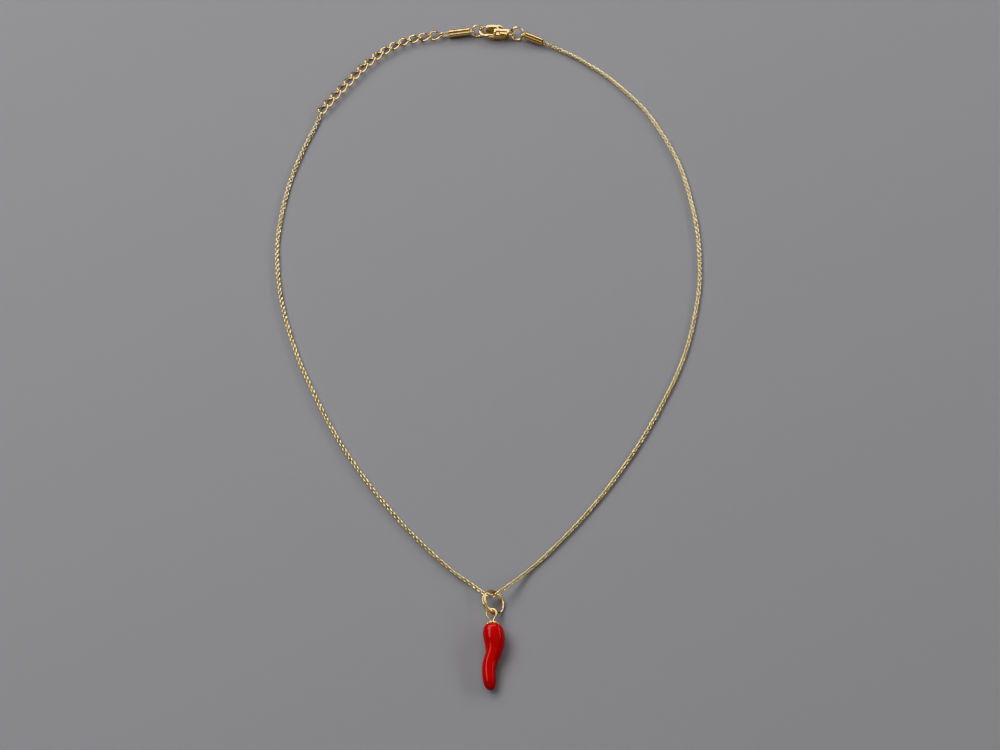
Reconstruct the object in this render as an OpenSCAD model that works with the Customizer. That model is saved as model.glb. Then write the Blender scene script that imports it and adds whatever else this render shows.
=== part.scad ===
// Chili pepper charm necklace, lying closed on a flat surface.
// Millimetres, +Z up, z = 0 is the surface. The charm lies at the -Y end and the clasp at the +Y end.

/* [Fine chain] */
// Width of the fine cable chain
chain_d = 1.0; // [0.8:0.05:1.05]

/* [Extension chain] */
// Number of open curb links in the extension
link_count = 15; // [8:1:15]
// Distance from one curb link to the next
link_pitch = 2.9; // [2.7:0.05:2.95]
// Outer width of a curb link
link_width = 3.0; // [2.8:0.05:3.1]
// Wire of a curb link
link_wire = 0.46; // [0.42:0.01:0.48]
// How far each end of a curb link is twisted out of its middle plane, in degrees
link_twist = 45; // [40:1:50]
// Roll of the links about the chain, which the last ones lose on the way to the tube, in degrees
link_roll = -23; // [-26:1:0]

/* [End tubes] */
// Outer diameter of the two plain end tubes
tube_d = 2.1; // [2:0.05:2.2]
// Length of the left tube without its eyes
tube_left_length = 5.9; // [5.5:0.1:6]
// Length of the right tube without its eye
tube_right_length = 5.2; // [5:0.1:5.5]
// Wire of the eyes that are soldered to the tubes
eye_wire = 0.42; // [0.38:0.02:0.44]
// Radius of the round eyes that hold the rings, at the middle of their wire
eye_r = 0.75; // [0.72:0.01:0.8]
// The same radius of the long eye that holds the extension
long_eye_r = 0.6; // [0.58:0.01:0.64]
// Straight legs of the long eye
eye_leg = 1.8; // [1.6:0.1:2]

/* [Jump rings] */
// Outer diameter of the ring that the clasp hooks into
hook_ring_d = 3.6; // [3.5:0.1:3.6]
// Wire of that ring
hook_ring_wire = 0.5; // [0.4:0.02:0.5]
// Outer diameter of the ring in the clasp's own eye
tail_ring_d = 4.1; // [4:0.1:4.2]
// Wire of that ring
tail_ring_wire = 0.6; // [0.54:0.02:0.6]

/* [Lobster clasp] */
// Radius of the hook's bend at the middle of its arm
nose_r = 1.38; // [1.35:0.01:1.4]
// Radius of the hook's arm where it meets the thick belly
arm_r = 0.46; // [0.42:0.01:0.48]
// Radius of the arm at its nose
nose_arm_r = 0.29; // [0.26:0.01:0.31]
// Thickness of the fork that holds the lever
fork_thick = 1.7; // [1.6:0.05:1.8]
// Thickness of the lever between the fork's cheeks
lever_thick = 0.66; // [0.6:0.02:0.66]
// Thickness of the gate, the part of the lever that closes the hook
gate_thick = 1.4; // [1.3:0.05:1.45]

/* [Charm] */
// Length of the chili pepper
chili_length = 17.2; // [16.5:0.1:17.4]
// Radius of the chili at its shoulder
chili_r = 2.7; // [2.5:0.05:2.75]
// Depth of the soft lengthwise ridges, as a share of the radius
ridge = 0.03; // [0:0.005:0.04]
// Outer diameter of the split ring, measured across one turn
split_ring_d = 6.6; // [6.5:0.1:6.8]
// Wire of the split ring
split_ring_wire = 0.5; // [0.4:0.02:0.5]
// Wire of the drop-shaped eye on the charm
drop_wire = 0.45; // [0.4:0.01:0.5]

/* [Hidden] */
gap = 0.12;
gold = [0.86, 0.68, 0.36];
pin_gold = [0.78, 0.66, 0.42];
chili_red = [0.68, 0.05, 0.05];
round_fn = 48;
LINKS = [for (i = [1 : link_count]) str("extension_link_", i < 10 ? "0" : "", i)];

// The route of the whole loop through the middle of its wires, chosen by hand: x, y and height.
// The left side runs from the split ring up to the clasp, and the right side from the clasp back down.
route_left = [
    [1.1, -75.55, 2.4], [-1.0, -74.2, 1.7], [-4.4, -71.05, 0.7], [-9.3, -67.2, 0.5], [-17.6, -58.8, 0.5],
    [-25.0, -50.0, 0.5], [-31.4, -41.3, 0.5], [-37.0, -32.5, 0.5], [-41.8, -23.5, 0.5], [-45.9, -14.5, 0.5],
    [-49.6, -5.5, 0.5], [-52.5, 3.5, 0.5], [-54.7, 12.5, 0.5], [-56.0, 22.0, 0.5], [-56.3, 31.0, 0.5],
    [-55.4, 40.0, 0.5], [-53.4, 50.5, 0.5], [-50.2, 60.5, 0.5], [-47.0, 68.5, 0.6], [-45.4, 73.0, 1.05],
    [-42.5, 77.2, 1.08], [-38.0, 83.0, 1.08], [-33.2, 88.8, 1.08], [-28.6, 92.9, 1.1], [-23.5, 95.9, 1.08],
    [-18.5, 97.5, 0.98], [-14.0, 98.15, 1.0], [-11.0, 98.5, 1.15], [-5.0, 99.2, 1.45], [-1.2, 99.3, 1.48]];
route_right = [
    [1.8, 99.1, 1.5], [5.5, 98.7, 1.59], [9.7, 97.8, 1.68], [14.8, 95.8, 1.15], [19.6, 93.5, 0.6],
    [25.3, 90.1, 0.5], [31.8, 85.2, 0.5], [37.0, 80.1, 0.5], [43.0, 73.0, 0.5], [47.8, 64.5, 0.5],
    [51.7, 55.5, 0.5], [54.1, 46.0, 0.5], [55.7, 36.5, 0.5], [56.3, 27.0, 0.5], [56.0, 17.0, 0.5],
    [54.6, 8.0, 0.5], [52.5, -1.0, 0.5], [49.4, -10.0, 0.5], [45.3, -19.0, 0.5], [40.7, -28.0, 0.5],
    [35.3, -37.0, 0.5], [29.3, -45.8, 0.5], [22.6, -54.4, 0.5], [14.9, -63.0, 0.5], [9.9, -67.9, 0.9],
    [6.35, -71.6, 2.3], [3.6, -74.2, 3.18], [2.4, -75.25, 3.06], [1.1, -75.55, 2.4]];
route = concat(route_left, route_right);

// A smooth curve through the route's points, and the distance along it
curve_steps = 6;
function knot(i) = i < 0 ? 2 * route[0] - route[1]
    : i >= len(route) ? 2 * route[len(route) - 1] - route[len(route) - 2] : route[i];
function spline(a, b, c, d, t) =
    (2 * b + (c - a) * t + (2 * a - 5 * b + 4 * c - d) * t * t + (3 * b - a - 3 * c + d) * t * t * t) / 2;
curve = [for (i = [0 : len(route) - 2]) for (k = [0 : curve_steps - 1])
    spline(knot(i - 1), knot(i), knot(i + 1), knot(i + 2), k / curve_steps), route[len(route) - 1]];
function pace(i) = i < len(curve) ? norm(curve[i] - curve[i - 1]) : 0;
run = [for (i = 0, s = 0; i < len(curve); i = i + 1, s = s + pace(i)) s];
loop_length = run[len(run) - 1];
curve_tables = [for (axis = [0 : 2]) [for (i = [0 : len(curve) - 1]) [run[i], curve[i][axis]]]];
// A point of the curve, at a distance from the clasp's middle that is negative on the left side
clasp_s = run[len(route_left) * curve_steps];
function at(d) = let (p = [for (axis = [0 : 2]) lookup(clasp_s + d, curve_tables[axis])])
    [p[0], p[1], max(p[2], chain_d / 2)];

function unit(v) = v / norm(v);
// Shares of a length that stand closer together at both ends
function crowded(x) = x - 0.65 * sin(360 * x) / (2 * PI);

// Places a piece so that its local +X runs from one point of the route to another, with its origin midway
module along(from_d, to_d) {
    a = at(from_d);
    b = at(to_d);
    d = b - a;
    translate((a + b) / 2) rotate([0, -asin(d[2] / norm(d)), atan2(d[1], d[0])]) children();
}

// A wire of regular sides that is swept along points, with a matching list of vectors that point away from
// the middle of its bend. Its diameter is one number, or a list with one for each point. A closed wire joins
// its last ring to its first.
module swept_wire(points, outward, d, sides, closed) {
    n = len(points);
    function radius(i) = (is_list(d) ? d[i] : d) / 2;
    rings = [for (i = [0 : n - 1])
        let (before = closed ? points[(i + n - 1) % n] : points[max(i - 1, 0)],
             after = closed ? points[(i + 1) % n] : points[min(i + 1, n - 1)],
             t = unit(after - before),
             u = unit(outward[i] - (outward[i] * t) * t),
             v = cross(t, u))
        for (k = [0 : sides - 1]) let (a = (k + 0.5) * 360 / sides)
            points[i] + radius(i) * (cos(a) * u + sin(a) * v)];
    walls = [for (i = [0 : n - (closed ? 1 : 2)]) for (k = [0 : sides - 1])
        let (p = i * sides + k, q = i * sides + (k + 1) % sides,
             r = ((i + 1) % n) * sides + k, s = ((i + 1) % n) * sides + (k + 1) % sides)
        each [[p, r, q], [q, r, s]]];
    first_cap = [for (k = [0 : sides - 1]) k];
    last_cap = [for (k = [sides - 1 : -1 : 0]) (n - 1) * sides + k];
    polyhedron(points = rings, faces = closed ? walls : concat(walls, [first_cap, last_cap]));
}

// Rings of round wire
module torus(r, wire_r, sweep = 360) {
    rotate_extrude(angle = sweep, $fn = round_fn) translate([r, 0]) circle(r = wire_r, $fn = round_fn);
}

// Where the pieces of the clasp row hold each other, as distances from the clasp's middle
hook_ring_r = (hook_ring_d - hook_ring_wire) / 2;
tail_ring_r = (tail_ring_d - tail_ring_wire) / 2;
nose_x = -2.85;
clasp_eye_x = 4.3;
clasp_eye_r = 0.85;
clasp_eye_wire = 0.5;
hook_joint = nose_x - nose_r + (arm_r + nose_arm_r) / 2 + hook_ring_wire / 2 + 0.18;
tail_joint = clasp_eye_x + 0.07;
hook_ring_left = hook_joint - 2 * hook_ring_r;
tail_ring_right = tail_joint + 2 * tail_ring_r;
// The eyes are sunk in the tubes' ends, so that the rings lie close to them
eye_out = 0.4;
ring_to_tube = 0.25;
tube_left_end = hook_ring_left - hook_ring_wire / 2 - ring_to_tube;
tube_left_start = tube_left_end - tube_left_length;
tube_right_start = tail_ring_right + tail_ring_wire / 2 + ring_to_tube;
tube_right_end = tube_right_start + tube_right_length;

// The extension's links, whose last one sits in the long eye of the left tube
link_half = (link_pitch + link_wire + gap) / 2;
last_link = tube_left_start - eye_leg - link_half;
function link_place(i) = last_link - (link_count - i) * link_pitch;
chain_left_end = link_place(1) - link_half - link_wire / 2 - gap;
bore_depth = 1.2;
chain_right_start = tube_right_end - bore_depth + gap;

// Fine chain: a plain round cord stands for it, with a ring of corners every few millimetres
chain_sides = 8;
chain_rings_left = 38;
chain_rings_right = 42;
module chain_stretch(from_d, to_d, rings) {
    points = [for (i = [0 : rings - 1]) at(from_d + (to_d - from_d) * crowded(i / (rings - 1)))];
    up = [for (p = points) [0, 0, 1]];
    color(gold) swept_wire(points, up, chain_d / cos(180 / chain_sides), chain_sides, false);
}
// The two stretches meet in a bend inside the split ring, each cut back so that they stay clear of each other
meet = 0.42;
chain_left_start = meet - clasp_s;
chain_right_end = loop_length - clasp_s - meet;
module fine_chain_left() { chain_stretch(chain_left_start, chain_left_end, chain_rings_left); }
module fine_chain_right() { chain_stretch(chain_right_start, chain_right_end, chain_rings_right); }

// A curb link: an oval of wire whose ends are twisted opposite ways, so that the chain lies flat
link_segments = 16;
link_sides = 6;
level_links = 3;
module curb_link(i) {
    side_r = (link_width - link_wire) / 2;
    turns = [for (k = [0 : link_segments - 1]) k * 360 / link_segments];
    points = [for (t = turns) let (w = -link_twist * cos(t))
        [link_half * cos(t), side_r * sin(t) * cos(w), side_r * sin(t) * sin(w)]];
    middle = link_place(i);
    color(gold) along(middle - link_pitch / 2, middle + link_pitch / 2)
        rotate([link_roll * min(1, (link_count - i) / level_links), 0, 0])
        swept_wire(points, points, link_wire, link_sides, true);
}

// End tubes: a plain polished barrel with soldered eyes. The ring eye stands across the ring that it holds.
ring_roll = 50;
eye_roll = ring_roll - 90;
tube_edge = 0.12;
module barrel(length) {
    r = tube_d / 2;
    rotate([0, 90, 0]) rotate_extrude($fn = round_fn)
        polygon([[0, 0], [r - tube_edge, 0], [r, tube_edge], [r, length - tube_edge],
            [r - tube_edge, length], [0, length]]);
}
module ring_eye() { rotate([eye_roll, 0, 0]) torus(eye_r, eye_wire / 2); }
long_eye_roll = 75;
module long_eye() {
    rotate([long_eye_roll, 0, 0]) {
        translate([-eye_leg, 0, 0]) rotate([0, 0, 90]) torus(long_eye_r, eye_wire / 2, 180);
        for (side = [-1, 1]) translate([-eye_leg, side * long_eye_r, 0]) rotate([0, 90, 0])
            cylinder(h = eye_leg + eye_wire / 2, d = eye_wire, $fn = round_fn);
    }
}
module tube_left() {
    color(gold) along(tube_left_start, tube_left_end) translate([-tube_left_length / 2, 0, 0]) {
        barrel(tube_left_length);
        long_eye();
        translate([tube_left_length + eye_out, 0, 0]) ring_eye();
    }
}
module tube_right() {
    bore_d = chain_d + 3 * gap;
    color(gold) along(tube_right_start, tube_right_end) translate([-tube_right_length / 2, 0, 0]) {
        difference() {
            barrel(tube_right_length);
            translate([tube_right_length - bore_depth, 0, 0]) rotate([0, 90, 0])
                cylinder(h = bore_depth + 1, d = bore_d, $fn = round_fn);
        }
        translate([-eye_out, 0, 0]) ring_eye();
    }
}

// Jump rings: one turn of round wire with a hairline cut, tilted so that their far side stands up
ring_cut = 3;
module jump_ring(r, wire) {
    color(gold) rotate([ring_roll, 0, 0]) rotate([0, 0, 90 + ring_cut / 2])
        torus(r, wire / 2, 360 - ring_cut);
}
module hook_ring() { along(hook_ring_left, hook_joint) jump_ring(hook_ring_r, hook_ring_wire); }
module tail_ring() { along(tail_joint, tail_ring_right) jump_ring(tail_ring_r, tail_ring_wire); }

// Lobster clasp. In its own frame +X runs from the hook to the eye, and +Y is the side that opens.
clasp_roll = 0;
pivot = [0.8, -1.0, 0];
pin_r = 0.27;
fork_bore_r = 0.29;
lever_bore_r = 0.33;
lever_boss_r = 0.52;
slot_gap = 0.09;
claw_sides = 12;
// The bend of the hook runs from the belly's middle line
belly_y = -1.53;
bend_y = belly_y + nose_r;
// Rows of the claw's thick belly, from inside the fork to the bend: x, y and diameter
belly_rows = [[1.2, -1.5, 1.0], [-0.18, -1.55, 1.06], [-0.24, -1.6, 1.16], [-0.4, -1.62, 1.24],
    [-1.0, -1.61, 1.3], [-1.7, -1.58, 1.26], [-2.3, -1.545, 1.1]];
// Rows of the rounded nose: degrees round the bend, and share of the arm's radius there
nose_rows = [[96, 1.0], [91, 0.94], [88, 0.75], [86.5, 0.4]];
// Outlines of the fork's cheeks, of the gate, and of the lever with its thumb tab and its tail
fork_outline = [[-0.2, -1.95], [-0.2, 0.2], [0.0, 0.36], [2.9, 0.42], [3.7, 0.36], [3.9, 0.15], [3.9, -0.8],
    [3.7, -1.25], [3.2, -1.6], [2.4, -1.85], [0.8, -1.97]];
gate_outline = [[-2.45, 1.28], [-2.6, 1.02], [-2.63, 0.6], [-2.52, 0.28], [-2.1, 0.06], [-1.5, -0.1],
    [-0.8, -0.34], [-0.35, -0.52], [-0.35, 0.55], [0.08, 0.62], [0.1, 1.66], [-0.35, 1.7], [-1.0, 1.66],
    [-1.5, 1.58], [-2.0, 1.46]];
lever_outline = [[-0.4, -0.46], [-0.4, 1.6], [0.1, 1.6], [0.22, 1.82], [0.5, 2.0], [0.95, 2.02], [1.5, 1.84],
    [2.2, 1.3], [2.7, 0.82], [2.52, 0.68], [2.0, 1.06], [1.45, 1.46], [1.05, 1.56], [0.82, 1.45], [0.8, 0.9],
    [1.0, 0.35], [1.15, -0.5], [1.45, -0.82], [3.0, -0.88], [3.02, -1.08], [1.5, -1.08], [1.2, -1.3],
    [0.8, -1.45], [0.3, -0.85]];
slot_floor = -1.65;
slot_end = 3.2;
window_start = 1.4;
window_floor = -1.58;
window_top = -0.45;
module clasp_frame() {
    along(hook_joint, tail_joint) rotate([clasp_roll, 0, 0])
        translate([-(hook_joint + tail_joint) / 2, 0, 0]) children();
}
module claw() {
    bend = [for (a = [270 : -12 : 102]) [a, arm_r + (nose_arm_r - arm_r) * (270 - a) / 180]];
    nose = [for (row = nose_rows) [row[0], nose_arm_r * row[1]]];
    arm = concat(bend, nose);
    belly = [for (row = belly_rows) [row[0], row[1], 0]];
    curved = [for (row = arm) [nose_x + nose_r * cos(row[0]), bend_y + nose_r * sin(row[0]), 0]];
    swept_wire(concat(belly, curved),
        concat([for (p = belly) [0, -1, 0]], [for (p = curved) p - [nose_x, bend_y, 0]]),
        concat([for (row = belly_rows) row[2]], [for (row = arm) 2 * row[1]]), claw_sides, false);
}
module clasp_body() {
    slot = lever_thick + 2 * slot_gap;
    color(gold) clasp_frame() difference() {
        union() {
            claw();
            translate([0, 0, -fork_thick / 2]) linear_extrude(fork_thick) polygon(fork_outline);
            translate([clasp_eye_x, 0, 0]) torus(clasp_eye_r, clasp_eye_wire / 2);
        }
        translate([fork_outline[0][0] - 0.01, slot_floor, -slot / 2])
            cube([slot_end - fork_outline[0][0], 3, slot]);
        translate([window_start, window_floor, 0])
            cube([slot_end - window_start, window_top - window_floor, 2]);
        translate([pivot[0], pivot[1], -2]) cylinder(h = 4, r = fork_bore_r, $fn = round_fn);
    }
}
// A flat piece of the lever, centred between the cheeks
module plate(thick) { translate([0, 0, -thick / 2]) linear_extrude(thick) children(); }
module clasp_lever() {
    color(gold) clasp_frame() difference() {
        union() {
            plate(gate_thick) polygon(gate_outline);
            plate(lever_thick) {
                translate([pivot[0], pivot[1]]) circle(r = lever_boss_r, $fn = round_fn);
                polygon(lever_outline);
            }
        }
        translate([pivot[0], pivot[1], -2]) cylinder(h = 4, r = lever_bore_r, $fn = round_fn);
    }
}
module clasp_pin() {
    color(pin_gold) clasp_frame() translate([pivot[0], pivot[1], -fork_thick / 2])
        cylinder(h = fork_thick, r = pin_r, $fn = round_fn);
}

// Split ring: two turns of wire that cross over once, sprung a little apart on the left
split_place = [1.49, -77.22, 2.34];
split_roll = 38.7;
split_tilt = -3.3;
split_cross = -15.6;
split_segments = 54;
split_spread = 0.22;
module split_ring() {
    r = (split_ring_d - split_ring_wire) / 2;
    first = split_cross + 36;
    last = split_cross + 684;
    turns = [for (k = [0 : split_segments]) first + (last - first) * k / split_segments];
    points = [for (t = turns)
        let (level = max(-1, min(1, (t - split_cross - 360) / 34)),
             open = split_spread * pow(max(0, cos(t - 195)), 2),
             step = split_ring_wire + 0.08 + open)
        [r * cos(t), r * sin(t), sin(level * 90) * step / 2]];
    outward = [for (t = turns) [cos(t), sin(t), 0]];
    color(gold) translate(split_place) rotate([split_tilt, split_roll, 0])
        swept_wire(points, outward, split_ring_wire, 8, false);
}

// Charm: the chili lies on its side. Its own frame has the cap at the origin and its tip towards -Y.
charm_place = [1.3, -83.75, 0];
peg_r = 0.42;
peg_length = 2.2;
axis_z = chili_r * (1 + ridge);
chili_sides = 28;
chili_rings = 36;
// Rows of the chili: share of the length from the cap, sideways place in mm, and shares of the shoulder's
// radius for the radius there and for the height of its middle
chili_rows = [
    [0.000, 0.00, 0.42, 1.0], [0.012, 0.02, 0.67, 1.0], [0.044, 0.10, 0.88, 1.0],
    [0.091, 0.17, 0.975, 1.0], [0.152, 0.26, 0.995, 1.0], [0.234, 0.38, 0.955, 0.97],
    [0.322, 0.46, 0.855, 0.89], [0.405, 0.30, 0.77, 0.80], [0.488, -0.14, 0.72, 0.75],
    [0.576, -0.68, 0.67, 0.70], [0.669, -0.90, 0.635, 0.65], [0.765, -0.90, 0.615, 0.63],
    [0.865, -0.76, 0.585, 0.61], [0.930, -0.64, 0.50, 0.60], [0.970, -0.56, 0.37, 0.60],
    [0.990, -0.52, 0.23, 0.60], [1.000, -0.50, 0.06, 0.60]];
function chili_at(s, column) = lookup(s, [for (row = chili_rows) [row[0], row[column]]]);
module chili_form() {
    points = [for (k = [0 : chili_rings - 1])
        let (s = crowded(k / (chili_rings - 1)),
             r = chili_r * chili_at(s, 2),
             swell = ridge * min(1, r / chili_r * 1.4),
             height = chili_at(s, 3) * axis_z)
        for (j = [0 : chili_sides - 1])
            let (a = j * 360 / chili_sides, lobe = 1 + swell * cos(5 * a + 60 + 50 * s))
            [chili_at(s, 1) + r * lobe * cos(a), -s * chili_length, height + r * lobe * sin(a)]];
    n = chili_sides;
    walls = [for (i = [0 : chili_rings - 2]) for (j = [0 : n - 1])
        let (p = i * n + j, q = i * n + (j + 1) % n) each [[p, q, p + n], [q, q + n, p + n]]];
    caps = [[for (j = [n - 1 : -1 : 0]) j], [for (j = [0 : n - 1]) (chili_rings - 1) * n + j]];
    polyhedron(points = points, faces = concat(walls, caps));
}
module chili() {
    color(chili_red) translate(charm_place) difference() {
        chili_form();
        translate([0, 1, axis_z]) rotate([90, 0, 0])
            cylinder(h = 1 + peg_length + gap, r = peg_r + gap / 2, $fn = round_fn);
    }
}

// Cap: a thin scalloped leaf cap, its peg, a small knob and a drop-shaped wire eye, all soldered together
cap_r = 1.56;
cap_thick = 0.3;
drop_r = 1.27;
drop_height = 2.75;
drop_roll = -14;
drop_lean = 5;
drop_foot = [0, 0.5, 0];
drop_steps = 16;
drop_crotch = 0.52;
// The drop-shaped eye: wire that runs up from its foot, round the top and down to the foot again
module drop_eye() {
    rise = asin(drop_r / drop_height);
    top = drop_foot + [0, drop_height, 0];
    arc = [for (k = [0 : drop_steps]) let (a = -rise + k * (180 + 2 * rise) / drop_steps)
        top + drop_r * [cos(a), sin(a), 0]];
    points = concat([drop_foot, drop_foot + drop_crotch * unit(arc[0] - drop_foot)], arc,
        [drop_foot + drop_crotch * unit(arc[drop_steps] - drop_foot)]);
    rotate([0, drop_roll, drop_lean])
        swept_wire(points, [for (p = points) p - top], drop_wire, 12, true);
}
module charm_cap() {
    color(gold) translate(charm_place + [0, 0, axis_z]) {
        translate([0, gap, 0]) rotate([-90, 0, 0]) linear_extrude(cap_thick) {
            circle(r = cap_r * 0.8, $fn = round_fn);
            for (a = [0 : 60 : 300]) rotate(a) translate([cap_r * 0.68, 0])
                circle(r = cap_r * 0.34, $fn = 24);
        }
        translate([0, gap + cap_thick, 0]) rotate([90, 0, 0])
            cylinder(h = gap + cap_thick + peg_length, r = peg_r, $fn = round_fn);
        translate([0.1, drop_foot[1] + 0.1, 0]) sphere(r = 0.36, $fn = round_fn);
        drop_eye();
    }
}

chili();
charm_cap();
split_ring();
fine_chain_left();
fine_chain_right();
for (i = [1 : link_count]) curb_link(i);
tube_left();
tube_right();
hook_ring();
tail_ring();
clasp_body();
clasp_lever();
clasp_pin();
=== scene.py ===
import math
import bmesh
import bpy
import numpy as np
from mathutils import Matrix, Vector


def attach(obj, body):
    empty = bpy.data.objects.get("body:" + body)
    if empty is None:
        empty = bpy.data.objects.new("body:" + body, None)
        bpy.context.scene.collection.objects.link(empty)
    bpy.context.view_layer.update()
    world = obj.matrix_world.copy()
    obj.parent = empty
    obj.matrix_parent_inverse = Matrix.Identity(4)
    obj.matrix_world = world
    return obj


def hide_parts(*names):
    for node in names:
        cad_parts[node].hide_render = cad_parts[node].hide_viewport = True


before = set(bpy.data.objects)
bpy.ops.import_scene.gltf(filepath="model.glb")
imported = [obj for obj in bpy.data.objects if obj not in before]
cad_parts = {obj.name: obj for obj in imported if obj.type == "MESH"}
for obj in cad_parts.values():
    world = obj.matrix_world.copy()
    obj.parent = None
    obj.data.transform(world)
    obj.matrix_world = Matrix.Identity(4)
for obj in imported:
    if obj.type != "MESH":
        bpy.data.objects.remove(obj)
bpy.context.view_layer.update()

# The view
# The necklace lies closed on a table, and is seen from the charm's side at 30 degrees off the
# vertical, with the clasp at the top of the picture.
view_from = (0.00314, -0.4632, 0.7852)
view_tilt = 30.0
view_lens = 124.8
view_sensor = 36.0
camera_data = bpy.data.cameras.new("view")
camera_data.lens = view_lens
camera_data.sensor_width = view_sensor
camera_data.clip_start = 0.05
camera_data.clip_end = 10.0
camera = bpy.data.objects.new("view", camera_data)
camera.location = view_from
camera.rotation_euler = (math.radians(view_tilt), 0.0, 0.0)
bpy.context.collection.objects.link(camera)
bpy.context.scene.camera = camera
bpy.context.scene.view_settings.view_transform = "Khronos PBR Neutral"

# Table top and studio light
# A plain pale grey table top in a warm, dim room. A long soft box stands at the left, and a
# narrower one with a small lamp at the right, which the polished metal and the enamel show as
# long highlights. Two more hang in front and behind, for the wires that lie across.
MM = 0.001


def srgb(hex_colour):
    parts = [int(hex_colour[i:i + 2], 16) / 255 for i in (1, 3, 5)]
    linear = [p / 12.92 if p <= 0.04045 else ((p + 0.055) / 1.055) ** 2.4 for p in parts]
    return (*linear, 1.0)


def add_node(tree, kind, inputs=None, **settings):
    """Adds a node. An input is either another node's output, which is linked, or a value."""
    node = tree.nodes.new(kind)
    for name, value in settings.items():
        setattr(node, name, value)
    for name, value in (inputs or {}).items():
        if isinstance(value, bpy.types.NodeSocket):
            tree.links.new(value, node.inputs[name])
        else:
            node.inputs[name].default_value = value
    return node


def new_material(name):
    material = bpy.data.materials.new(name)
    material.use_nodes = True
    material.node_tree.nodes.clear()
    return material, material.node_tree


def mesh_object(name, points, faces, edges=()):
    mesh = bpy.data.meshes.new(name)
    mesh.from_pydata([tuple(p) for p in points], edges, faces)
    mesh.update()
    made = bpy.data.objects.new(name, mesh)
    bpy.context.collection.objects.link(made)
    return made


# Matt paint, which shows no highlights of its own
table_half = 4.0
table_colour = "#909196"
table_roughness = 0.9
table_material, tree = new_material("painted_table_top")
shader = add_node(tree, "ShaderNodeBsdfPrincipled", {
    "Base Color": srgb(table_colour), "Roughness": table_roughness})
add_node(tree, "ShaderNodeOutputMaterial", {"Surface": shader.outputs["BSDF"]})
table_corners = [(-table_half, -table_half, 0), (table_half, -table_half, 0),
                 (table_half, table_half, 0), (-table_half, table_half, 0)]
table_top = mesh_object("table_top", table_corners, [(0, 1, 2, 3)])
table_top.data.materials.append(table_material)

# Each lamp's name, its place, its size across and along in metres, and its watts. They all face
# the middle of the table.
soft_boxes = [("left_soft_box", (-0.56, 0.36, 0.78), (0.58, 1.3), 9.6),
              ("right_soft_box", (0.86, 0.40, 0.44), (0.18, 1.1), 4.0),
              ("right_lamp", (0.80, 0.55, 0.53), (0.07, 0.07), 0.2),
              ("front_soft_box", (0.0, -0.75, 0.75), (0.8, 0.8), 1.6),
              ("back_soft_box", (0.0, 0.82, 0.57), (0.5, 0.36), 2.0)]
for name, place, size, watts in soft_boxes:
    lamp = bpy.data.lights.new(name, "AREA")
    lamp.shape = "RECTANGLE"
    lamp.size, lamp.size_y = size
    lamp.energy = watts
    holder = bpy.data.objects.new(name, lamp)
    holder.location = place
    away = Vector(place).normalized()
    across = Vector((0, 1, 0)).cross(away).normalized()
    holder.rotation_euler = Matrix((across, away.cross(across), away)).transposed().to_euler()
    bpy.context.collection.objects.link(holder)

# The room is nearly dark at the floor and grows lighter toward the middle of the ceiling
room_dark = 0.02
room_light = 0.2
room_colour = "#F6DFC4"
ceiling_from, ceiling_to = 0.1, 1.0
room = bpy.data.worlds.new("studio_room")
room.use_nodes = True
tree = room.node_tree
tree.nodes.clear()
toward = add_node(tree, "ShaderNodeTexCoord")
height = add_node(tree, "ShaderNodeSeparateXYZ", {"Vector": toward.outputs["Generated"]})
ceiling = add_node(tree, "ShaderNodeMapRange", {
    "Value": height.outputs["Z"], "From Min": ceiling_from, "From Max": ceiling_to,
    "To Min": room_dark, "To Max": room_light})
glow = add_node(tree, "ShaderNodeBackground", {
    "Color": srgb(room_colour), "Strength": ceiling.outputs["Result"]})
add_node(tree, "ShaderNodeOutputWorld", {"Surface": glow.outputs["Background"]})
bpy.context.scene.world = room

# Fine chain
# A fine trace chain of soldered short links in gold-plated brass. Each link is turned a quarter
# round from its neighbour, and the chain runs from the extension through the charm's split ring
# to the right end tube.

# The loop's own route: x, y and height of the middle of the wires, in mm
route_left = [
    (1.1, -75.55, 2.4), (-1.0, -74.2, 1.7), (-4.4, -71.05, 0.7), (-9.3, -67.2, 0.5),
    (-17.6, -58.8, 0.5), (-25.0, -50.0, 0.5), (-31.4, -41.3, 0.5), (-37.0, -32.5, 0.5),
    (-41.8, -23.5, 0.5), (-45.9, -14.5, 0.5), (-49.6, -5.5, 0.5), (-52.5, 3.5, 0.5),
    (-54.7, 12.5, 0.5), (-56.0, 22.0, 0.5), (-56.3, 31.0, 0.5), (-55.4, 40.0, 0.5),
    (-53.4, 50.5, 0.5), (-50.2, 60.5, 0.5), (-47.0, 68.5, 0.6), (-45.4, 73.0, 1.05),
    (-42.5, 77.2, 1.08), (-38.0, 83.0, 1.08), (-33.2, 88.8, 1.08), (-28.6, 92.9, 1.1),
    (-23.5, 95.9, 1.08), (-18.5, 97.5, 0.98), (-14.0, 98.15, 1.0), (-11.0, 98.5, 1.15),
    (-5.0, 99.2, 1.45), (-1.2, 99.3, 1.48)]
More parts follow.
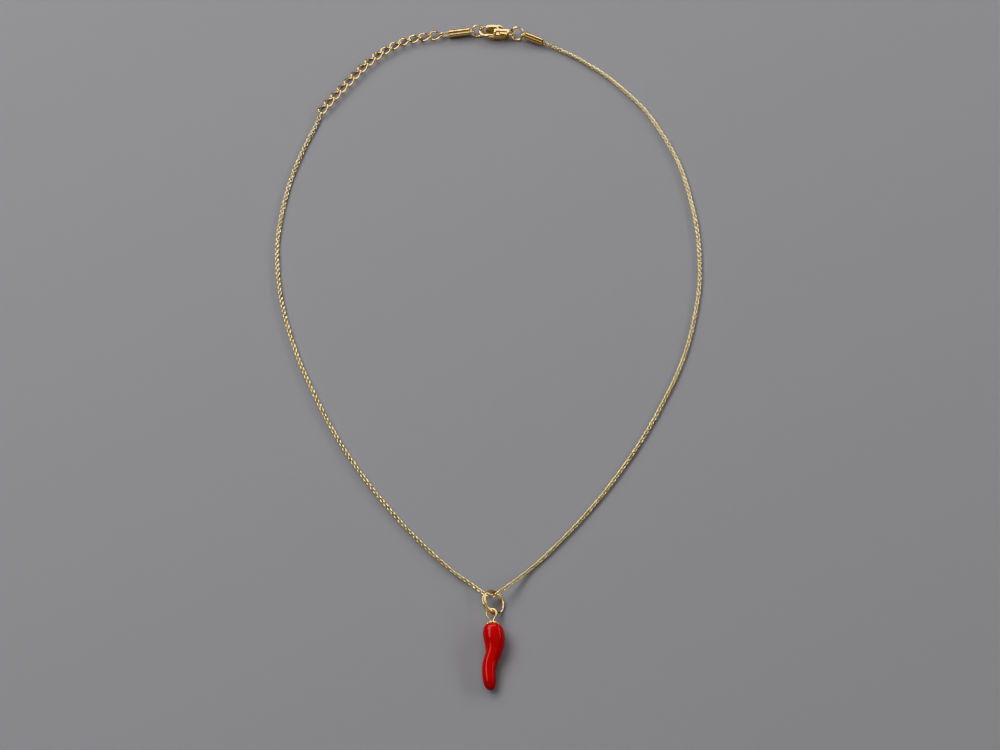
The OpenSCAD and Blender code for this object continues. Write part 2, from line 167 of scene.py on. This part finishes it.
route_right = [
    (1.8, 99.1, 1.5), (5.5, 98.7, 1.59), (9.7, 97.8, 1.68), (14.8, 95.8, 1.15),
    (19.6, 93.5, 0.6), (25.3, 90.1, 0.5), (31.8, 85.2, 0.5), (37.0, 80.1, 0.5),
    (43.0, 73.0, 0.5), (47.8, 64.5, 0.5), (51.7, 55.5, 0.5), (54.1, 46.0, 0.5),
    (55.7, 36.5, 0.5), (56.3, 27.0, 0.5), (56.0, 17.0, 0.5), (54.6, 8.0, 0.5),
    (52.5, -1.0, 0.5), (49.4, -10.0, 0.5), (45.3, -19.0, 0.5), (40.7, -28.0, 0.5),
    (35.3, -37.0, 0.5), (29.3, -45.8, 0.5), (22.6, -54.4, 0.5), (14.9, -63.0, 0.5),
    (9.9, -67.9, 0.9), (6.35, -71.6, 2.3), (3.6, -74.2, 3.18), (2.4, -75.25, 3.06),
    (1.1, -75.55, 2.4)]
route = [Vector(p) for p in route_left + route_right]
curve_steps = 6
floor_clear = 0.62


def spline(points, steps):
    """A smooth curve through the points, with a number of steps from each to the next."""
    made = []
    for i in range(len(points) - 1):
        a = points[i - 1] if i else 2 * points[0] - points[1]
        b, c = points[i], points[i + 1]
        d = points[i + 2] if i + 2 < len(points) else 2 * points[-1] - points[-2]
        for k in range(steps):
            t = k / steps
            made.append((2 * b + (c - a) * t + (2 * a - 5 * b + 4 * c - d) * t * t
                         + (3 * b - a - 3 * c + d) * t * t * t) / 2)
    return made + [points[-1]]


loop_curve = np.array(spline(route, curve_steps))
loop_steps = np.linalg.norm(np.diff(loop_curve, axis=0), axis=1)
loop_run = np.concatenate([[0.0], np.cumsum(loop_steps)])
clasp_run = loop_run[len(route_left) * curve_steps]


def at(distance):
    """A point of the loop in mm, at a distance from the clasp's middle that is negative on the
    left side. It is never so low that a link would touch the table."""
    run = (clasp_run + distance) % loop_run[-1]
    x, y, z = (np.interp(run, loop_run, loop_curve[:, axis]) for axis in range(3))
    return Vector((x, y, max(z, floor_clear)))


gold_colour = "#EFD7A5"
gold_tone = "#E1BE87"
flash_colour = "#F3E4BC"
flash_tone = "#E2CE9F"
polish_cell = 1.0 * MM
polish_smooth, polish_rough = 0.08, 0.15
tone_from, tone_to = 0.3, 0.62
mark_strength, mark_depth = 0.02, 0.01


def gold_plating_of(name, colour, deep_tone):
    """Thin bright plating over polished brass: warm yellow highlights, with a faint cloudiness
    left by the polishing wheel and a deeper tone where the plating is thicker. The wheel's real
    marks are too fine to show, so they are drawn coarser, in cells of 1 mm."""
    material, tree = new_material(name)
    place = add_node(tree, "ShaderNodeTexCoord")
    cloud = add_node(tree, "ShaderNodeTexNoise", {
        "Vector": place.outputs["Object"], "Scale": 1 / polish_cell, "Detail": 3.0,
        "Roughness": 0.55})
    tone = add_node(tree, "ShaderNodeValToRGB", {"Fac": cloud.outputs["Fac"]})
    tone.color_ramp.elements[0].position = tone_from
    tone.color_ramp.elements[0].color = srgb(deep_tone)
    tone.color_ramp.elements[1].position = tone_to
    tone.color_ramp.elements[1].color = srgb(colour)
    rough = add_node(tree, "ShaderNodeMapRange", {
        "Value": cloud.outputs["Fac"], "To Min": polish_smooth, "To Max": polish_rough})
    grain = add_node(tree, "ShaderNodeBump", {
        "Height": cloud.outputs["Fac"], "Strength": mark_strength, "Distance": mark_depth * MM})
    shader = add_node(tree, "ShaderNodeBsdfPrincipled", {
        "Base Color": tone.outputs["Color"], "Metallic": 1.0,
        "Roughness": rough.outputs["Result"], "Normal": grain.outputs["Normal"]})
    add_node(tree, "ShaderNodeOutputMaterial", {"Surface": shader.outputs["BSDF"]})
    return material


# The fittings and the extension are plated heavily, and the fine chain's links only with a thin,
# paler flash
gold_plating = gold_plating_of("gold_plated_brass", gold_colour, gold_tone)
flash_plating = gold_plating_of("flash_plated_brass", flash_colour, flash_tone)

chain_pitch = 0.75
trace_length = 1.45
trace_width = 1.2
trace_wire = 0.33
trace_roll = 20.0
trace_wobble = 10.0
trace_seed = 7
trace_corners = 12
trace_wire_corners = 5


def new_tree(name, inputs):
    """A Geometry Nodes tree that makes a chain, and the sockets of its named inputs."""
    tree = bpy.data.node_groups.new(name, "GeometryNodeTree")
    for label, kind, value in inputs:
        socket = tree.interface.new_socket(label, in_out="INPUT", socket_type=f"NodeSocket{kind}")
        if value is not None:
            socket.default_value = value
    tree.interface.new_socket("Chain", in_out="OUTPUT", socket_type="NodeSocketGeometry")
    return tree, add_node(tree, "NodeGroupInput").outputs


def rolled_along(tree, degrees):
    """The rotation of links that follow their path and are rolled about it by some degrees."""
    tangent = add_node(tree, "GeometryNodeInputTangent")
    along = add_node(tree, "FunctionNodeAxesToRotation", {
        "Primary Axis": tangent.outputs["Tangent"], "Secondary Axis": (0, 0, 1)},
        primary_axis="X", secondary_axis="Z")
    radians = add_node(tree, "ShaderNodeMath", {0: degrees}, operation="RADIANS")
    turn = add_node(tree, "ShaderNodeCombineXYZ", {"X": radians.outputs[0]})
    roll = add_node(tree, "FunctionNodeEulerToRotation", {"Euler": turn.outputs["Vector"]})
    placed = add_node(tree, "FunctionNodeRotateRotation", {
        "Rotation": along.outputs["Rotation"], "Rotate By": roll.outputs["Rotation"]},
        rotation_space="LOCAL")
    return placed.outputs["Rotation"]


def set_links(tree, given, outline, wire_corners, spots):
    """Bends a round wire to one link's outline, sets the links and ends the tree. The spots are
    the inputs that say where links go and how they are turned."""
    wire_radius = add_node(tree, "ShaderNodeMath", {0: given["Wire"], 1: 0.5},
                           operation="MULTIPLY")
    section = add_node(tree, "GeometryNodeCurvePrimitiveCircle", {
        "Resolution": wire_corners, "Radius": wire_radius.outputs[0]})
    link = add_node(tree, "GeometryNodeCurveToMesh", {
        "Curve": outline, "Profile Curve": section.outputs["Curve"]})
    smooth = add_node(tree, "GeometryNodeSetShadeSmooth", {"Geometry": link.outputs["Mesh"]})
    links = add_node(tree, "GeometryNodeInstanceOnPoints", {
        "Instance": smooth.outputs["Geometry"], **spots})
    real = add_node(tree, "GeometryNodeRealizeInstances", {
        "Geometry": links.outputs["Instances"]})
    finished = add_node(tree, "GeometryNodeSetMaterial", {
        "Geometry": real.outputs["Geometry"], "Material": given["Finish"]})
    add_node(tree, "NodeGroupOutput", {"Chain": finished.outputs["Geometry"]})


def path_object(name, points):
    steps = [(i, i + 1) for i in range(len(points) - 1)]
    return mesh_object(name, [p * MM for p in points], [], steps)


def apply_nodes(path, tree, values):
    """Runs a Geometry Nodes tree on a path, and keeps the result as the path's plain mesh."""
    modifier = path.modifiers.new(tree.name, "NODES")
    modifier.node_group = tree
    for name, value in values.items():
        modifier[tree.interface.items_tree[name].identifier] = value
    evaluated = path.evaluated_get(bpy.context.evaluated_depsgraph_get())
    mesh = bpy.data.meshes.new_from_object(evaluated)
    mesh.name = path.name
    path.modifiers.clear()
    path.data = mesh
    return path


# The fine chain's tree: a link at every pitch along the path, each turned a quarter round from
# the last, with a roll for all of them and a small chance wobble for each
tree, given = new_tree("trace_chain", [
    ("Path", "Geometry", None), ("Pitch", "Float", 1.0), ("Length", "Float", 1.0),
    ("Width", "Float", 1.0), ("Wire", "Float", 0.1), ("Roll", "Float", 45.0),
    ("Wobble", "Float", 0.0), ("Seed", "Int", 1), ("Links", "Int", 10000),
    ("Finish", "Material", None)])
curve = add_node(tree, "GeometryNodeMeshToCurve", {"Mesh": given["Path"]})
beads = add_node(tree, "GeometryNodeResampleCurve", {
    "Curve": curve.outputs["Curve"], "Length": given["Pitch"]}, mode="LENGTH")
index = add_node(tree, "GeometryNodeInputIndex")
odd = add_node(tree, "ShaderNodeMath", {0: index.outputs["Index"], 1: 2.0}, operation="MODULO")
quarter = add_node(tree, "ShaderNodeMath", {0: odd.outputs[0], 1: 90.0, 2: given["Roll"]},
                   operation="MULTIPLY_ADD")
low = add_node(tree, "ShaderNodeMath", {0: given["Wobble"], 1: -1.0}, operation="MULTIPLY")
wobble = add_node(tree, "FunctionNodeRandomValue", {
    "Min": low.outputs[0], "Max": given["Wobble"], "Seed": given["Seed"]}, data_type="FLOAT")
roll = add_node(tree, "ShaderNodeMath", {0: quarter.outputs[0], 1: wobble.outputs["Value"]},
                operation="ADD")
# The link's outline is a circle of radius 1, turned by half a corner so that none lies on the
# middle line, made as wide as the link and pulled apart there into two round ends with straight
# sides between them
circle = add_node(tree, "GeometryNodeCurvePrimitiveCircle", {
    "Resolution": trace_corners, "Radius": 1.0})
half_turned = add_node(tree, "GeometryNodeTransform", {
    "Geometry": circle.outputs["Curve"], "Rotation": (0, 0, math.pi / trace_corners)})
round_part = add_node(tree, "ShaderNodeMath", {0: given["Width"], 1: given["Wire"]},
                      operation="SUBTRACT")
end_radius = add_node(tree, "ShaderNodeMath", {0: round_part.outputs[0], 1: 0.5},
                      operation="MULTIPLY")
straight = add_node(tree, "ShaderNodeMath", {0: given["Length"], 1: given["Width"]},
                    operation="SUBTRACT")
half_straight = add_node(tree, "ShaderNodeMath", {0: straight.outputs[0], 1: 0.5},
                         operation="MULTIPLY")
spot = add_node(tree, "GeometryNodeInputPosition")
scaled = add_node(tree, "ShaderNodeVectorMath", {
    0: spot.outputs["Position"], "Scale": end_radius.outputs[0]}, operation="SCALE")
side = add_node(tree, "ShaderNodeVectorMath", {0: spot.outputs["Position"]}, operation="SIGN")
only_x = add_node(tree, "ShaderNodeVectorMath", {0: side.outputs["Vector"], 1: (1, 0, 0)},
                  operation="MULTIPLY")
pulled = add_node(tree, "ShaderNodeVectorMath", {
    0: only_x.outputs["Vector"], "Scale": half_straight.outputs[0]}, operation="SCALE")
stadium_point = add_node(tree, "ShaderNodeVectorMath", {
    0: scaled.outputs["Vector"], 1: pulled.outputs["Vector"]}, operation="ADD")
stadium = add_node(tree, "GeometryNodeSetPosition", {
    "Geometry": half_turned.outputs["Geometry"], "Position": stadium_point.outputs["Vector"]})
wanted = add_node(tree, "ShaderNodeMath", {0: index.outputs["Index"], 1: given["Links"]},
                  operation="LESS_THAN")
set_links(tree, given, stadium.outputs["Geometry"], trace_wire_corners, {
    "Points": beads.outputs["Curve"], "Selection": wanted.outputs[0],
    "Rotation": rolled_along(tree, roll.outputs[0])})

# Where the pieces of the clasp row hold each other, as distances from the clasp's middle
hook_joint = -3.425
tail_joint = 4.37
hook_ring_d, hook_ring_wire = 3.6, 0.5
tail_ring_d, tail_ring_wire = 4.1, 0.6
ring_to_tube = 0.25
tube_left_length, tube_right_length = 5.9, 5.2
eye_leg = 1.8
link_count, link_pitch, link_width, link_wire = 15, 2.9, 3.0, 0.46
link_play = 0.12
link_half = (link_pitch + link_wire + link_play) / 2
tube_left_start = (hook_joint - (hook_ring_d - hook_ring_wire) - hook_ring_wire / 2
                   - ring_to_tube - tube_left_length)
last_link = tube_left_start - eye_leg - link_half
tube_right_end = (tail_joint + tail_ring_d - tail_ring_wire + tail_ring_wire / 2 + ring_to_tube
                  + tube_right_length)
first_link_end = last_link - (link_count - 1) * link_pitch - link_half

# The chain's first link reaches into the right tube's bore, and its last one holds the joining
# link, which holds the extension. Between wires that hold each other there is a small gap.
joining_length, joining_width, joining_wire = 2.3, 1.35, 0.34
chain_in_tube = 0.25
extension_gap = 0.08
chain_gap = 0.06
chain_from = tube_right_end - chain_in_tube
joining_middle = (first_link_end + link_wire / 2 + joining_wire + extension_gap
                  - joining_length / 2)
chain_to = (joining_middle - joining_length / 2 + joining_wire - trace_length / 2 + trace_wire
            + chain_gap + loop_run[-1])
chain_steps = 900
chain_points = [at(chain_from + (chain_to - chain_from) * k / chain_steps)
                for k in range(chain_steps + 1)]
fine_chain = apply_nodes(path_object("fine_chain", chain_points), tree, {
    "Pitch": chain_pitch * MM, "Length": trace_length * MM, "Width": trace_width * MM,
    "Wire": trace_wire * MM, "Roll": trace_roll, "Wobble": trace_wobble, "Seed": trace_seed,
    "Finish": flash_plating})
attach(fine_chain, "necklace")
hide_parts("fine_chain_left", "fine_chain_right")

# The oval jump link that joins the fine chain to the extension stands on its edge, square to both
# its neighbours. Its path is one short step, which gives its place and its direction.
joining_roll = 110.0
joining_step = 0.3
joining_points = [at(joining_middle), at(joining_middle + joining_step)]
joining_link = apply_nodes(path_object("joining_link", joining_points), tree, {
    "Pitch": chain_pitch * MM, "Length": joining_length * MM, "Width": joining_width * MM,
    "Wire": joining_wire * MM, "Roll": joining_roll, "Links": 1, "Finish": gold_plating})
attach(joining_link, "necklace")

# Extension chain
# Fifteen open curb links of round gold-plated brass wire. Each oval is twisted, so that every
# link leans the same way, and the row lies rolled a little to one side until its last links turn
# level at the tube.
link_twist = 45.0
link_roll, level_links = -23.0, 3
curb_corners = 24
curb_wire_corners = 12
tree, given = new_tree("curb_chain", [
    ("Path", "Geometry", None), ("Half length", "Float", 1.0), ("Half width", "Float", 1.0),
    ("Wire", "Float", 0.1), ("Twist", "Float", 45.0), ("Roll", "Float", -23.0),
    ("Count", "Float", 15.0), ("Level", "Float", 3.0), ("Finish", "Material", None)])
curve = add_node(tree, "GeometryNodeMeshToCurve", {"Mesh": given["Path"]})
# The roll fades to nothing over the last links
index = add_node(tree, "GeometryNodeInputIndex")
from_last = add_node(tree, "ShaderNodeMath", {0: given["Count"], 1: index.outputs["Index"]},
                     operation="SUBTRACT")
others = add_node(tree, "ShaderNodeMath", {0: from_last.outputs[0], 1: 1.0},
                  operation="SUBTRACT")
share = add_node(tree, "ShaderNodeMath", {0: others.outputs[0], 1: given["Level"]},
                 operation="DIVIDE")
capped = add_node(tree, "ShaderNodeMath", {0: share.outputs[0], 1: 1.0}, operation="MINIMUM")
roll = add_node(tree, "ShaderNodeMath", {0: capped.outputs[0], 1: given["Roll"]},
                operation="MULTIPLY")
# The link's outline is an oval whose two ends are twisted opposite ways about its length
circle = add_node(tree, "GeometryNodeCurvePrimitiveCircle", {
    "Resolution": curb_corners, "Radius": 1.0})
spot = add_node(tree, "GeometryNodeInputPosition")
parts = add_node(tree, "ShaderNodeSeparateXYZ", {"Vector": spot.outputs["Position"]})
twist = add_node(tree, "ShaderNodeMath", {0: given["Twist"]}, operation="RADIANS")
lean = add_node(tree, "ShaderNodeMath", {0: twist.outputs[0], 1: parts.outputs["X"]},
                operation="MULTIPLY")
against = add_node(tree, "ShaderNodeMath", {0: lean.outputs[0], 1: -1.0}, operation="MULTIPLY")
flat = add_node(tree, "ShaderNodeMath", {0: against.outputs[0]}, operation="COSINE")
raised = add_node(tree, "ShaderNodeMath", {0: against.outputs[0]}, operation="SINE")
reach = add_node(tree, "ShaderNodeMath", {0: parts.outputs["X"], 1: given["Half length"]},
                 operation="MULTIPLY")
breadth = add_node(tree, "ShaderNodeMath", {0: parts.outputs["Y"], 1: given["Half width"]},
                   operation="MULTIPLY")
across = add_node(tree, "ShaderNodeMath", {0: breadth.outputs[0], 1: flat.outputs[0]},
                  operation="MULTIPLY")
upward = add_node(tree, "ShaderNodeMath", {0: breadth.outputs[0], 1: raised.outputs[0]},
                  operation="MULTIPLY")
twisted_point = add_node(tree, "ShaderNodeCombineXYZ", {
    "X": reach.outputs[0], "Y": across.outputs[0], "Z": upward.outputs[0]})
twisted = add_node(tree, "GeometryNodeSetPosition", {
    "Geometry": circle.outputs["Curve"], "Position": twisted_point.outputs["Vector"]})
set_links(tree, given, twisted.outputs["Geometry"], curb_wire_corners, {
    "Points": curve.outputs["Curve"], "Rotation": rolled_along(tree, roll.outputs[0])})

link_names = [f"extension_link_{i:02d}" for i in range(1, link_count + 1)]
link_points = [at(last_link - (link_count - i) * link_pitch) for i in range(1, link_count + 1)]
extension = apply_nodes(path_object("extension_chain", link_points), tree, {
    "Half length": link_half * MM, "Half width": (link_width - link_wire) / 2 * MM,
    "Wire": link_wire * MM, "Twist": link_twist, "Roll": link_roll, "Count": float(link_count),
    "Level": float(level_links), "Finish": gold_plating})
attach(extension, "necklace")
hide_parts(*link_names)

# End tubes and jump rings
# Short plain brass tubes, gold-plated and buffed, close the two ends of the chain. Each has a
# soldered wire eye, and a round jump ring through the eye takes the clasp's hook on the left and
# the clasp itself on the right.
# Corners this near in mm are joined. In degrees: bends that count as flat, edges that are eased,
# and bends that are shaded smooth.
join_within = 0.002
flat_below = 0.5
ease_above = 40.0
smooth_below = 35.0


def shade_smooth(piece):
    piece.data.polygons.foreach_set("use_smooth", [True] * len(piece.data.polygons))
    piece.data.set_sharp_from_angle(angle=math.radians(smooth_below))


def buffed(node, name, edge=0.0, rows=2):
    """A CAD piece with its corners joined, its sharp edges eased by the buffing wheel and its
    facets shaded smooth."""
    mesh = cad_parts[node].data.copy()
    mesh.name = name
    work = bmesh.new()
    work.from_mesh(mesh)
    bmesh.ops.remove_doubles(work, verts=work.verts, dist=join_within * MM)
    bmesh.ops.dissolve_limit(work, angle_limit=math.radians(flat_below), verts=work.verts,
                             edges=work.edges)
    work.to_mesh(mesh)
    work.free()
    made = bpy.data.objects.new(name, mesh)
    bpy.context.collection.objects.link(made)
    if edge:
        bevel = made.modifiers.new("eased_edges", "BEVEL")
        bevel.width = edge * MM
        bevel.segments = rows
        bevel.limit_method = "ANGLE"
        bevel.angle_limit = math.radians(ease_above)
        evaluated = made.evaluated_get(bpy.context.evaluated_depsgraph_get())
        made.data = bpy.data.meshes.new_from_object(evaluated)
        made.modifiers.clear()
        made.data.name = name
    shade_smooth(made)
    return made


def finish_piece(piece, body, material, node):
    """Gives a piece its only material, attaches it to its body and hides its CAD node."""
    piece.data.materials.clear()
    piece.data.materials.append(material)
    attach(piece, body)
    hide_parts(node)


for node in ("tube_left", "tube_right", "hook_ring", "tail_ring"):
    finish_piece(buffed(node, f"{node}_buffed"), "necklace", gold_plating, node)

# Lobster clasp
# A cast brass lobster clasp, gold-plated and tumbled until its edges are soft. The sprung lever
# with its thumb tab turns on a pin between the two cheeks, and closes the mouth at the nose.
body_edge, lever_edge, pin_edge = 0.16, 0.2, 0.03
soft_rows = 4
clasp_body = buffed("clasp_body", "clasp_body_cast", body_edge, soft_rows)
finish_piece(clasp_body, "necklace", gold_plating, "clasp_body")
clasp_lever = buffed("clasp_lever", "clasp_lever_cast", lever_edge, soft_rows)
finish_piece(clasp_lever, "lever", gold_plating, "clasp_lever")
clasp_pin = buffed("clasp_pin", "clasp_pin_turned", pin_edge)
finish_piece(clasp_pin, "necklace", gold_plating, "clasp_pin")

# Split ring
# Two turns of hard round wire, gold-plated, that the charm's eye is threaded on. The turns lie
# against each other except on the left, where the ring is sprung a little open.
split_place = Vector((1.49, -77.22, 2.34))
split_roll, split_tilt, split_cross = 38.7, -3.3, -15.6
split_d, split_wire, split_spread = 6.6, 0.5, 0.22
split_gap = 0.08
split_segments = 162
split_corners = 16
# Degrees along the wire, counted from the angle at which it crosses over from one turn to the
# other: its two ends, the crossing's middle and half the crossing's length. The sprung side is an
# angle of the ring itself.
wire_start, wire_end = 36.0, 684.0
crossing_middle, crossing_half = 360.0, 34.0
sprung_side = 195.0


def swept_wire(points, outward, diameters, corners):
    """Corners and faces of a wire along points, with vectors that point away from the middle of
    its bend."""
    places, walls = [], []
    n = len(points)
    for i, p in enumerate(points):
        t = (points[min(i + 1, n - 1)] - points[max(i - 1, 0)]).normalized()
        u = (outward[i] - outward[i].dot(t) * t).normalized()
        v = t.cross(u)
        for k in range(corners):
            a = (k + 0.5) * 2 * math.pi / corners
            places.append(p + diameters[i] / 2 * (math.cos(a) * u + math.sin(a) * v))
    for i in range(n - 1):
        for k in range(corners):
            a, b = i * corners, (i + 1) * corners
            m = (k + 1) % corners
            walls.append((a + k, a + m, b + m, b + k))
    walls.append(tuple(range(corners))[::-1])
    walls.append(tuple((n - 1) * corners + k for k in range(corners)))
    return places, walls


def placed_piece(name, points, faces, matrix):
    made = mesh_object(name, [matrix @ p * MM for p in points], faces)
    shade_smooth(made)
    return made


split_r = (split_d - split_wire) / 2
first_turn, last_turn = split_cross + wire_start, split_cross + wire_end
turns = [first_turn + (last_turn - first_turn) * k / split_segments
         for k in range(split_segments + 1)]
points, outward = [], []
for turn in turns:
    a = math.radians(turn)
    level = max(-1.0, min(1.0, (turn - split_cross - crossing_middle) / crossing_half))
    spread = split_spread * max(0.0, math.cos(math.radians(turn - sprung_side))) ** 2
    step = split_wire + split_gap + spread
    points.append(Vector((split_r * math.cos(a), split_r * math.sin(a),
                          math.sin(level * math.pi / 2) * step / 2)))
    outward.append(Vector((math.cos(a), math.sin(a), 0)))
# The cut ends of the wire are rounded over three rows: share of its thickness, and step in mm
rounding = [(0.96, 0.015), (0.83, 0.05), (0.55, 0.09)]
start = (points[0] - points[1]).normalized()
end = (points[-1] - points[-2]).normalized()
diameters = [split_wire] * len(points)
for share, step in rounding:
    points = [points[0] + start * step] + points + [points[-1] + end * step]
    outward = [outward[0]] + outward + [outward[-1]]
    diameters = [split_wire * share] + diameters + [split_wire * share]
places, walls = swept_wire(points, outward, diameters, split_corners)
lie = (Matrix.Translation(split_place) @ Matrix.Rotation(math.radians(split_roll), 4, "Y")
       @ Matrix.Rotation(math.radians(split_tilt), 4, "X"))
split_ring = placed_piece("split_ring_wire", places, walls, lie)
finish_piece(split_ring, "necklace", gold_plating, "split_ring")

# Charm's cap
# A small scalloped leaf cap with a knob and a drop-shaped wire eye, soldered together and
# gold-plated. Its peg is glued into the chili.
cap_edge = 0.05
charm_cap = buffed("charm_cap", "charm_cap_leaf", cap_edge)
finish_piece(charm_cap, "necklace", gold_plating, "charm_cap")

# Chili
# A cast chili pepper in glossy red enamel. The form swells below the cap, bends gently to the
# left and back, and has five soft lengthwise swellings, as a real pepper has.
charm_place = Vector((1.3, -83.75, 0.0))
chili_length, chili_r, chili_ridge = 17.2, 2.7, 0.03
chili_axis = chili_r * (1 + chili_ridge)
chili_corners = 64
chili_steps = 150
chili_row_steps = 12
# The swellings start at an angle and turn on by another toward the tip, and they are lower
# where the form is thin
chili_swellings, swelling_start, swelling_turn = 5, 60, 50
swelling_full = 1.4
# The mesh's rows lie closer together at both ends
end_crowding = 0.65
# Share of the length from the cap, sideways place in mm, and shares of the shoulder's radius and
# of its height
chili_rows = [
    (0.000, 0.00, 0.42, 1.00), (0.012, 0.02, 0.67, 1.00), (0.044, 0.10, 0.88, 1.00),
    (0.091, 0.17, 0.975, 1.0), (0.152, 0.26, 0.995, 1.0), (0.234, 0.38, 0.955, 0.97),
    (0.322, 0.46, 0.855, 0.89), (0.405, 0.30, 0.77, 0.80), (0.488, -0.14, 0.72, 0.75),
    (0.576, -0.68, 0.67, 0.70), (0.669, -0.90, 0.635, 0.65), (0.765, -0.90, 0.615, 0.63),
    (0.865, -0.76, 0.585, 0.61), (0.930, -0.64, 0.50, 0.60), (0.970, -0.56, 0.37, 0.60),
    (0.990, -0.52, 0.23, 0.60), (1.000, -0.50, 0.06, 0.60)]
chili_curve = np.array(spline([Vector(row) for row in chili_rows], chili_row_steps))
points = []
for k in range(chili_steps):
    x = k / (chili_steps - 1)
    s = x - end_crowding * math.sin(2 * math.pi * x) / (2 * math.pi)
    side, share, height = (np.interp(s, chili_curve[:, 0], chili_curve[:, column])
                           for column in (1, 2, 3))
    r = chili_r * share
    swell = chili_ridge * min(1.0, share * swelling_full)
    for j in range(chili_corners):
        a = j * 2 * math.pi / chili_corners
        lobe = 1 + swell * math.cos(chili_swellings * a
                                    + math.radians(swelling_start + swelling_turn * s))
        points.append(Vector((side + r * lobe * math.cos(a), -s * chili_length,
                              height * chili_axis + r * lobe * math.sin(a))))
faces = []
for i in range(chili_steps - 1):
    row, below = i * chili_corners, (i + 1) * chili_corners
    for j in range(chili_corners):
        m = (j + 1) % chili_corners
        faces.append((row + j, row + m, below + m, below + j))
faces.append(tuple(range(chili_corners))[::-1])
faces.append(tuple((chili_steps - 1) * chili_corners + j for j in range(chili_corners)))

# Fired enamel over metal: a deep red under a clear glossy surface, a little uneven where it
# pooled, so that long highlights waver. The pooling is drawn in cells of 8 mm.
enamel_red = "#BE0A08"
enamel_deep = "#A40A0C"
enamel_roughness, enamel_ior = 0.2, 1.36
pool_cell = 8.0 * MM
pool_from, pool_to = 0.3, 0.6
pool_strength, pool_depth = 0.25, 0.2
red_enamel, tree = new_material("glossy_red_enamel")
place = add_node(tree, "ShaderNodeTexCoord")
pooled = add_node(tree, "ShaderNodeTexNoise", {
    "Vector": place.outputs["Object"], "Scale": 1 / pool_cell, "Detail": 2.0})
depth = add_node(tree, "ShaderNodeValToRGB", {"Fac": pooled.outputs["Fac"]})
depth.color_ramp.elements[0].position = pool_from
depth.color_ramp.elements[0].color = srgb(enamel_deep)
depth.color_ramp.elements[1].position = pool_to
depth.color_ramp.elements[1].color = srgb(enamel_red)
ripple = add_node(tree, "ShaderNodeBump", {
    "Height": pooled.outputs["Fac"], "Strength": pool_strength, "Distance": pool_depth * MM})
shader = add_node(tree, "ShaderNodeBsdfPrincipled", {
    "Base Color": depth.outputs["Color"], "Roughness": enamel_roughness, "IOR": enamel_ior,
    "Normal": ripple.outputs["Normal"]})
add_node(tree, "ShaderNodeOutputMaterial", {"Surface": shader.outputs["BSDF"]})
chili = placed_piece("chili_enamelled", points, faces, Matrix.Translation(charm_place))
finish_piece(chili, "necklace", red_enamel, "chili")
